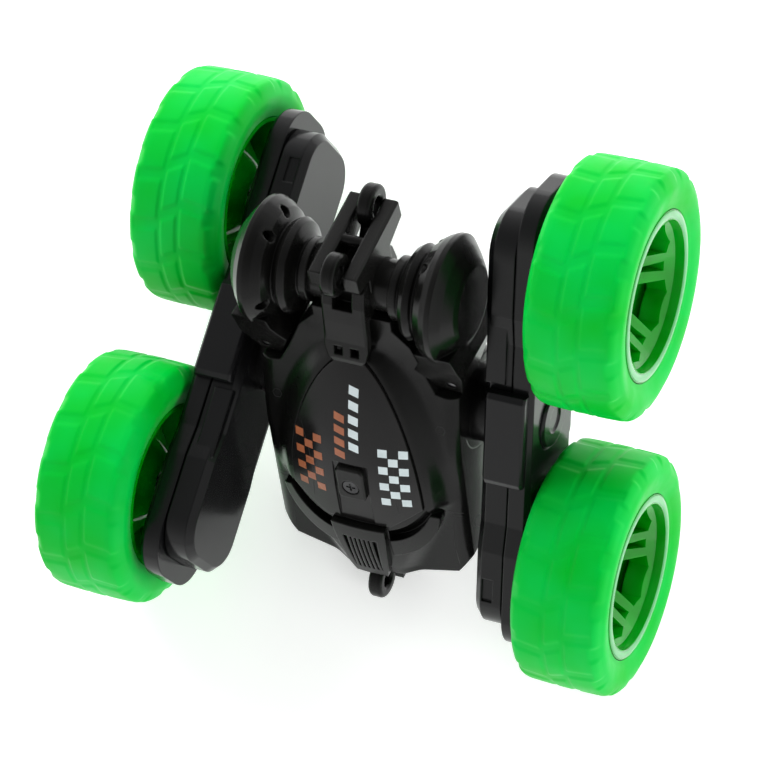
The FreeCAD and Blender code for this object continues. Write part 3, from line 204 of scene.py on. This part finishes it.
def ink(name, color, wear_and_highlight):
    """Printed foil: slightly mottled, with faint scuffs."""
    material, shader = start_material(name, color, 0.32)
    links = material.node_tree.links
    links.new(two_tone(material, spread(material, noise(material, 220, 4), 0, 1, 0.42, 0.75), color, wear_and_highlight),
              shader.inputs["Base Color"])
    links.new(spread(material, noise(material, 90), 0.25, 0.42), shader.inputs["Roughness"])
    bumped(material, shader, noise(material, 900, 2), 0.05, 0.0001)
    return material


# In each plastic the second colour is the lighter tone painted on convex edges as a highlight.
FINISH = {
    "tyre_green": tyre_rubber(),
    "rim_green": rim_plastic("rim_plastic", (0.0, 0.26, 0.002), (0.001, 0.37, 0.012), 0.6),
    "arm_gloss_black": plastic("arm_gloss_black", (0.0028, 0.003, 0.0032), (0.006, 0.006, 0.0065),
                               0.17, 500, 0.03, 0.26, 0.0006),
    "hub_black": plastic("hub_black", (0.003, 0.003, 0.003), (0.006, 0.006, 0.006), 0.24, 900, 0.06, 0.2),
    "chassis_black": plastic("chassis_black", (0.0028, 0.0028, 0.0026), (0.0075, 0.0075, 0.007),
                             0.22, 900, 0.05, 0.18, 0.0007),
    "panel_black": plastic("panel_black", (0.0045, 0.0042, 0.0042), (0.008, 0.0075, 0.0075),
                           0.2, 700, 0.03, 0.24),
    "steel": metal("steel", (0.55, 0.55, 0.56), 0.28, 500, (1, 1, 6)),
    "screw_steel": metal("screw_steel", (0.3, 0.3, 0.31), 0.33),
    "motor_steel": metal("motor_steel", (0.5, 0.5, 0.5), 0.3, 300, (1, 8, 1)),
    "bush_bronze": metal("bush_bronze", (0.55, 0.38, 0.16), 0.32),
    "gear_white": plastic("gear_white", (0.62, 0.61, 0.57), (0.75, 0.75, 0.72), 0.4),
    "battery_sleeve": plastic("battery_sleeve", (0.01, 0.05, 0.2), (0.03, 0.09, 0.28), 0.22, 300, 0.05, 0.4),
    "board": circuit_board(),
    "lead_red": plastic("lead_red", (0.35, 0.01, 0.01), (0.5, 0.04, 0.03), 0.35),
    "switch_grey": plastic("switch_grey", (0.05, 0.05, 0.05), (0.12, 0.12, 0.12), 0.4),
}
DARK_SCREW = metal("dark_screw", (0.07, 0.07, 0.072), 0.35)
ORANGE_INK = ink("orange_ink", (0.34, 0.1, 0.035), (0.25, 0.07, 0.028))
PALE_INK = ink("pale_ink", (0.62, 0.7, 0.72), (0.52, 0.6, 0.62))

slot_of = {}
for part in frame["record"]["subparts"]:
    slot_of[part["node"]] = part["material_slot"]
for name, shown in frame["nodes"].items():
    shown.data.materials.clear()
    shown.data.materials.append(DARK_SCREW if name == "door_screw" else FINISH[slot_of[name]])


# ---------------------------------------------------------------- mesh helpers
def new_object(name, points, faces, material, smooth_angle=None):
    mesh = bpy.data.meshes.new(name)
    mesh.from_pydata([tuple(p) for p in points], [], faces)
    mesh.validate()
    made = bpy.data.objects.new(name, mesh)
    bpy.context.scene.collection.objects.link(made)
    mesh.materials.append(material)
    if smooth_angle is not None:
        mesh.shade_smooth()
        mesh.set_sharp_from_angle(angle=math.radians(smooth_angle))
    return made


def smoothstep(low, high, value):
    t = min(1.0, max(0.0, (value - low) / (high - low)))
    return t * t * (3 - 2 * t)


# ---------------------------------------------------------------- tyres
TYRE_STEPS = 360
TREAD_PITCHES = 15
CROWN_DEPTH = 0.3
SHOULDER_DEPTH = 0.6


def slab(u, centre, half, soft):
    """1 inside a band about centre, falling to 0 over the soft edge."""
    return 1 - smoothstep(half - soft, half, abs(u - centre))


def tread(x, angle):
    """Height of the tread blocks, 0 in the grooves and 1 on the blocks, at x across the crown."""
    turn = angle / (2 * math.pi) * TREAD_PITCHES
    height = 0.0
    for side in (-1, 1):
        phase = (turn + (0.25 if side > 0 else 0.75)) % 1.0
        along = (phase + 0.14 * side * x / 14.0) % 1.0
        height = max(height, slab(along, 0.5, 0.43, 0.08) * slab(x, side * 8.6, 5.3, 0.9))
    along = (turn + 0.1 * math.sin(x / 2.6)) % 1.0
    height = max(height, slab(along, 0.5, 0.42, 0.08) * slab(x, 0.0, 2.7, 0.8))
    return height


def shoulder_lug(angle):
    """Blocks that run over the shoulder and show on the outline of the wheel."""
    turn = (angle / (2 * math.pi) * TREAD_PITCHES) % 1.0
    return slab(turn, 0.5, 0.36, 0.06)


def tyre_section():
    """(x, radius, crown weight, shoulder weight) round the outer side of the tyre, bead to bead."""
    half = []
    steps = 46
    for k in range(steps + 1):
        x = 14.15 * k / steps
        if x < 9.6:
            radius = 35.45 - 0.0022 * x * x
        else:
            radius = 35.25 - 3.9 * ((x - 9.6) / 4.55) ** 2.6
        half.append((x, radius, 1.0 - smoothstep(12.9, 14.0, x), smoothstep(10.6, 12.2, x)))
    wall = [(14.25, 30.6), (14.22, 29.6), (14.05, 28.5), (13.75, 27.4),
            (13.4, 26.4), (13.05, 25.5), (12.95, 24.9), (12.8, 24.55)]
    half += [(x, radius, 0.0, 0.0) for x, radius in wall]
    return [(-x, r, c, s) for x, r, c, s in reversed(half[1:])] + half


def make_tyre(name, body, node, place):
    section = tyre_section()
    points = []
    for i in range(TYRE_STEPS):
        angle = 2 * math.pi * i / TYRE_STEPS
        for x, radius, crown, shoulder in section:
            lift = crown * (CROWN_DEPTH * tread(x, angle) * (1 - shoulder)
                            + SHOULDER_DEPTH * shoulder_lug(angle) * shoulder)
            r = radius + lift
            points.append(Vector((x, r * math.cos(angle), r * math.sin(angle))) * MM)
    inner_half = [(12.4, 24.5), (11.2, 25.4), (11.0, 32.2), (9.6, 33.4)]
    inner = inner_half + [(-x, r) for x, r in reversed(inner_half)]
    outer_count = len(section)
    ring = outer_count + len(inner)
    full = []
    for i in range(TYRE_STEPS):
        angle = 2 * math.pi * i / TYRE_STEPS
        full += points[i * outer_count:(i + 1) * outer_count]
        full += [Vector((x, r * math.cos(angle), r * math.sin(angle))) * MM for x, r in inner]
    faces = []
    for i in range(TYRE_STEPS):
        j = (i + 1) % TYRE_STEPS
        for k in range(ring):
            n = (k + 1) % ring
            faces.append((i * ring + k, i * ring + n, j * ring + n, j * ring + k))
    tyre = new_object(name, full, faces, FINISH["tyre_green"], 50)
    tyre.data.transform(place)
    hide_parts(node)
    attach(tyre, body)


wheel_places = {}
for end in ("front", "rear"):
    for side in ("left", "right"):
        label = end + "_" + side
        low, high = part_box("tyre_" + label)
        centre = (low + high) / 2
        axis = Vector(JOINTS[label + "_wheel_spin"]["axis"])
        outward = axis if side == "right" else -axis
        wheel_places[label] = frame_at(centre, outward, (0, 1, 0))
        make_tyre("tread_tyre_" + label, "wheel_" + label, "tyre_" + label, wheel_places[label])


# ---------------------------------------------------------------- rims
def turned_ring(name, section, steps, material, angle=40):
    """Closed ring: section is (x, radius) in millimetres, turned about x."""
    points, faces = [], []
    for i in range(steps):
        turn = 2 * math.pi * i / steps
        points += [Vector((x, r * math.cos(turn), r * math.sin(turn))) * MM for x, r in section]
    count = len(section)
    for i in range(steps):
        j = (i + 1) % steps
        for k in range(count):
            n = (k + 1) % count
            faces.append((i * count + k, i * count + n, j * count + n, j * count + k))
    return new_object(name, points, faces, material, angle)


PALE_RIM = rim_plastic("rim_ring_plastic", (0.09, 0.42, 0.13), (0.13, 0.5, 0.19), 0.2)
BOWL_SECTION = [(2.2, 22.4), (-3.2, 15.0), (-8.6, 8.4), (-9.6, 5.0), (-10.4, 5.0), (-9.6, 9.0), (-4.2, 15.6),
                (0.9, 22.6)]
RING_SECTION = [(12.75, 24.15), (13.15, 23.9), (13.3, 23.2), (13.25, 22.3), (12.95, 21.75), (12.6, 21.6),
                (12.6, 24.15)]
for label, place in wheel_places.items():
    for name, section, material in (("rim_bowl_", BOWL_SECTION, FINISH["rim_green"]),
                                    ("rim_ring_", RING_SECTION, PALE_RIM)):
        ring = turned_ring(name + label, section, 128, material)
        ring.data.transform(place)
        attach(ring, "wheel_" + label)


# ---------------------------------------------------------------- printed marks on the battery door
def surface_under(*names):
    """Ray target made of CAD nodes, in the chassis frame, in millimetres."""
    into = Matrix.Scale(1 / MM, 4) @ CHASSIS.inverted()
    points, faces = [], []
    for name in names:
        mesh = frame["nodes"][name].data
        first = len(points)
        points += [into @ v.co for v in mesh.vertices]
        faces += [tuple(first + k for k in polygon.vertices) for polygon in mesh.polygons]
    return BVHTree.FromPolygons(points, faces)


# Plan marks are dropped onto the car from RAY_TOP, and stand a hair proud of what they meet.
RAY_TOP = 60
DOOR_SURFACE = surface_under("battery_door", "upper_shell", "door_latch")
LONGEST_EDGE, INK_PROUD, INK_THICK = 0.9, 0.05, 0.04


def printed(name, outlines, material):
    """Thin foil shapes, outlines in the chassis' plan, laid on the door."""
    sheet = bmesh.new()
    for outline in outlines:
        sheet.faces.new([sheet.verts.new((x, y, 0)) for x, y in outline])
    bmesh.ops.triangulate(sheet, faces=sheet.faces)
    for _ in range(4):
        long_edges = [e for e in sheet.edges if e.calc_length() > LONGEST_EDGE]
        bmesh.ops.subdivide_edges(sheet, edges=long_edges, cuts=1)
        bmesh.ops.triangulate(sheet, faces=sheet.faces)
    for vert in sheet.verts:
        hit = DOOR_SURFACE.ray_cast(Vector((vert.co.x, vert.co.y, RAY_TOP)), Vector((0, 0, -1)))[0]
        vert.co.z = hit.z + INK_PROUD
    bmesh.ops.recalc_face_normals(sheet, faces=sheet.faces)
    under = bmesh.ops.extrude_face_region(sheet, geom=list(sheet.faces))
    for vert in [g for g in under["geom"] if isinstance(g, bmesh.types.BMVert)]:
        vert.co.z -= INK_THICK
    bmesh.ops.recalc_face_normals(sheet, faces=sheet.faces)
    mesh = bpy.data.meshes.new(name)
    sheet.to_mesh(mesh)
    sheet.free()
    mesh.transform(CHASSIS @ Matrix.Scale(MM, 4))
    mesh.materials.append(material)
    made = bpy.data.objects.new(name, mesh)
    bpy.context.scene.collection.objects.link(made)
    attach(made, "chassis")


def slanted(x, y, width, length, lean):
    """A leaning bar: its left edge starts at (x, y) and its ends slope by lean."""
    return [(x, y), (x + width, y - lean), (x + width, y - lean + length), (x, y + length)]


CHECK_PITCH, CHECK_SIDE = 3.0, 2.7
CHECKS_ACROSS, CHECKS_ALONG, CHECKS_TAIL = 3, 7, -20.5


def chequers(left_edge):
    """Every other square of a plain chequered patch that starts at the door's tail end."""
    places = [(i, j) for i in range(CHECKS_ACROSS) for j in range(CHECKS_ALONG) if (i + j) % 2 == 0]
    return [slanted(left_edge + CHECK_PITCH * i, CHECKS_TAIL + CHECK_PITCH * j, CHECK_SIDE, CHECK_SIDE, 0)
            for i, j in places]


printed("door_chequers_orange", chequers(-17.5), ORANGE_INK)
printed("door_chequers_pale", chequers(8.8), PALE_INK)
printed("door_dashes_orange", [slanted(-4.4, y, 3.2, 2.4, 0.9) for y in (-4.6, -0.6, 3.4, 7.4)], ORANGE_INK)
printed("door_dashes_pale", [slanted(0.1, y, 3.0, 2.6, 0.8) for y in (-1.6, 2.8, 7.2, 11.6, 16.0)], PALE_INK)


# ---------------------------------------------------------------- seams moulded into the shells
SEAM_DARK = plastic("seam_shadow", (0.0012, 0.0012, 0.0012), (0.002, 0.002, 0.002), 0.5, round_edge=0.0)
SHELL_SURFACE = surface_under("upper_shell", "battery_door")
SEAM_PROUD, SEAM_SUNK, SEAM_STEP = 0.03, 0.05, 0.8


def seam(name, line, width=0.32, closed=False):
    """Fine dark line laid on the shell along plan points in the chassis frame."""
    corners = [Vector(p) for p in (line + line[:1] if closed else line)]
    path = []
    for start, end in zip(corners, corners[1:]):
        steps = max(1, int((end - start).length / SEAM_STEP))
        path += [start.lerp(end, k / steps) for k in range(steps)]
    path.append(corners[-1])
    points = []
    for k, spot in enumerate(path):
        along = (path[min(k + 1, len(path) - 1)] - path[max(k - 1, 0)]).normalized()
        side = Vector((-along.y, along.x)) * width / 2
        for edge in (spot + side, spot - side):
            hit = SHELL_SURFACE.ray_cast(Vector((edge.x, edge.y, RAY_TOP)), Vector((0, 0, -1)))[0]
            points += [Vector((edge.x, edge.y, hit.z + SEAM_PROUD)),
                       Vector((edge.x, edge.y, hit.z - SEAM_SUNK))]
    faces = []
    for k in range(len(path) - 1):
        a, b = 4 * k, 4 * k + 4
        faces += [(a, b, b + 2, a + 2), (a + 2, b + 2, b + 3, a + 3), (a + 3, b + 3, b + 1, a + 1),
                  (a + 1, b + 1, b, a)]
    last = 4 * len(path) - 4
    faces += [(0, 2, 3, 1), (last, last + 1, last + 3, last + 2)]
    to_row = CHASSIS @ Matrix.Scale(MM, 4)
    made = new_object(name, [to_row @ p for p in points], faces, SEAM_DARK)
    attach(made, "chassis")


def both_sides(line, way):
    return [(way * x, y) for x, y in line]


SIXTH = math.pi / 3
hexagon = [(25.4 + 1.5 * math.cos(k * SIXTH), 5.0 + 1.5 * math.sin(k * SIXTH)) for k in range(6)]
for way, side in ((-1, "left"), (1, "right")):
    seam("seam_flank_" + side, both_sides([(29.4, -27.5), (25.2, -26.4)], way))
    seam("seam_corner_" + side,
         both_sides([(29.0, -28.6), (26.4, -28.2), (25.8, -41.5), (26.6, -49.0)], way))
    seam("seam_badge_" + side, both_sides(hexagon, way), 0.22, closed=True)
    seam("seam_door_" + side,
         both_sides([(15.4, 3.0), (13.2, -6.0), (12.4, -15.0), (13.4, -24.0)], way), 0.18)


# ---------------------------------------------------------------- floor, light and camera
FLOOR_HALF = 3
LIGHT_TARGET = Vector((0, 0, 0.05))


def make_floor():
    points = [(x * FLOOR_HALF, y * FLOOR_HALF, 0) for x, y in ((-1, -1), (1, -1), (1, 1), (-1, 1))]
    material, shader = start_material("floor_paper", (0.93, 0.93, 0.93), 0.7)
    shader.inputs["Emission Color"].default_value = (1, 1, 1, 1)
    shader.inputs["Emission Strength"].default_value = 0.45
    material.node_tree.links.new(spread(material, noise(material, 6), 0.62, 0.78), shader.inputs["Roughness"])
    made = new_object("floor", points, [(0, 1, 2, 3)], material)


def area_light(name, spot, size, power):
    """Softbox aimed at the car, left out of reflections, where its hard edge would show."""
    data = bpy.data.lights.new(name, "AREA")
    data.shape = "RECTANGLE"
    data.size, data.size_y = size
    data.energy = power
    made = bpy.data.objects.new(name, data)
    made.location = spot
    made.rotation_euler = (LIGHT_TARGET - Vector(spot)).to_track_quat("-Z", "Y").to_euler()
    made.visible_glossy = False
    bpy.context.scene.collection.objects.link(made)


make_floor()
area_light("key", (-0.75, 0.45, 0.6), (0.6, 0.5), 7)
area_light("fill", (0.85, -0.35, 0.55), (0.6, 0.5), 4)
area_light("back", (0.2, 0.95, 0.45), (0.8, 0.4), 5)


def studio_world():
    """White tent, brighter round the sides than overhead."""
    world = bpy.data.worlds.new("studio")
    world.use_nodes = True
    nodes, links = world.node_tree.nodes, world.node_tree.links
    place = nodes.new("ShaderNodeTexCoord")
    split = nodes.new("ShaderNodeSeparateXYZ")
    ramp = nodes.new("ShaderNodeMapRange")
    ramp.inputs["From Min"].default_value = 0.25
    ramp.inputs["From Max"].default_value = 0.95
    ramp.inputs["To Min"].default_value = 1.1
    ramp.inputs["To Max"].default_value = 0.22
    links.new(place.outputs["Generated"], split.inputs["Vector"])
    links.new(split.outputs["Z"], ramp.inputs["Value"])
    links.new(ramp.outputs["Result"], nodes["Background"].inputs["Strength"])
    nodes["Background"].inputs["Color"].default_value = (1, 1, 1, 1)
    bpy.context.scene.world = world
    bpy.context.scene.view_settings.view_transform = "Standard"


studio_world()
camera_data = bpy.data.cameras.new("camera")
camera_data.sensor_fit = "HORIZONTAL"
camera_data.sensor_width = 36
camera_data.lens = 162.95
camera = bpy.data.objects.new("camera", camera_data)
right = Vector((0.95376, 0.28806, -0.08576))
up = Vector((-0.26406, 0.93939, 0.21868))
back = right.cross(up)
turned = Matrix((right, up, back)).transposed().to_4x4()
camera.matrix_world = Matrix.Translation((0.1373, -0.1847, 1.0146)) @ turned
bpy.context.scene.collection.objects.link(camera)
bpy.context.scene.camera = camera
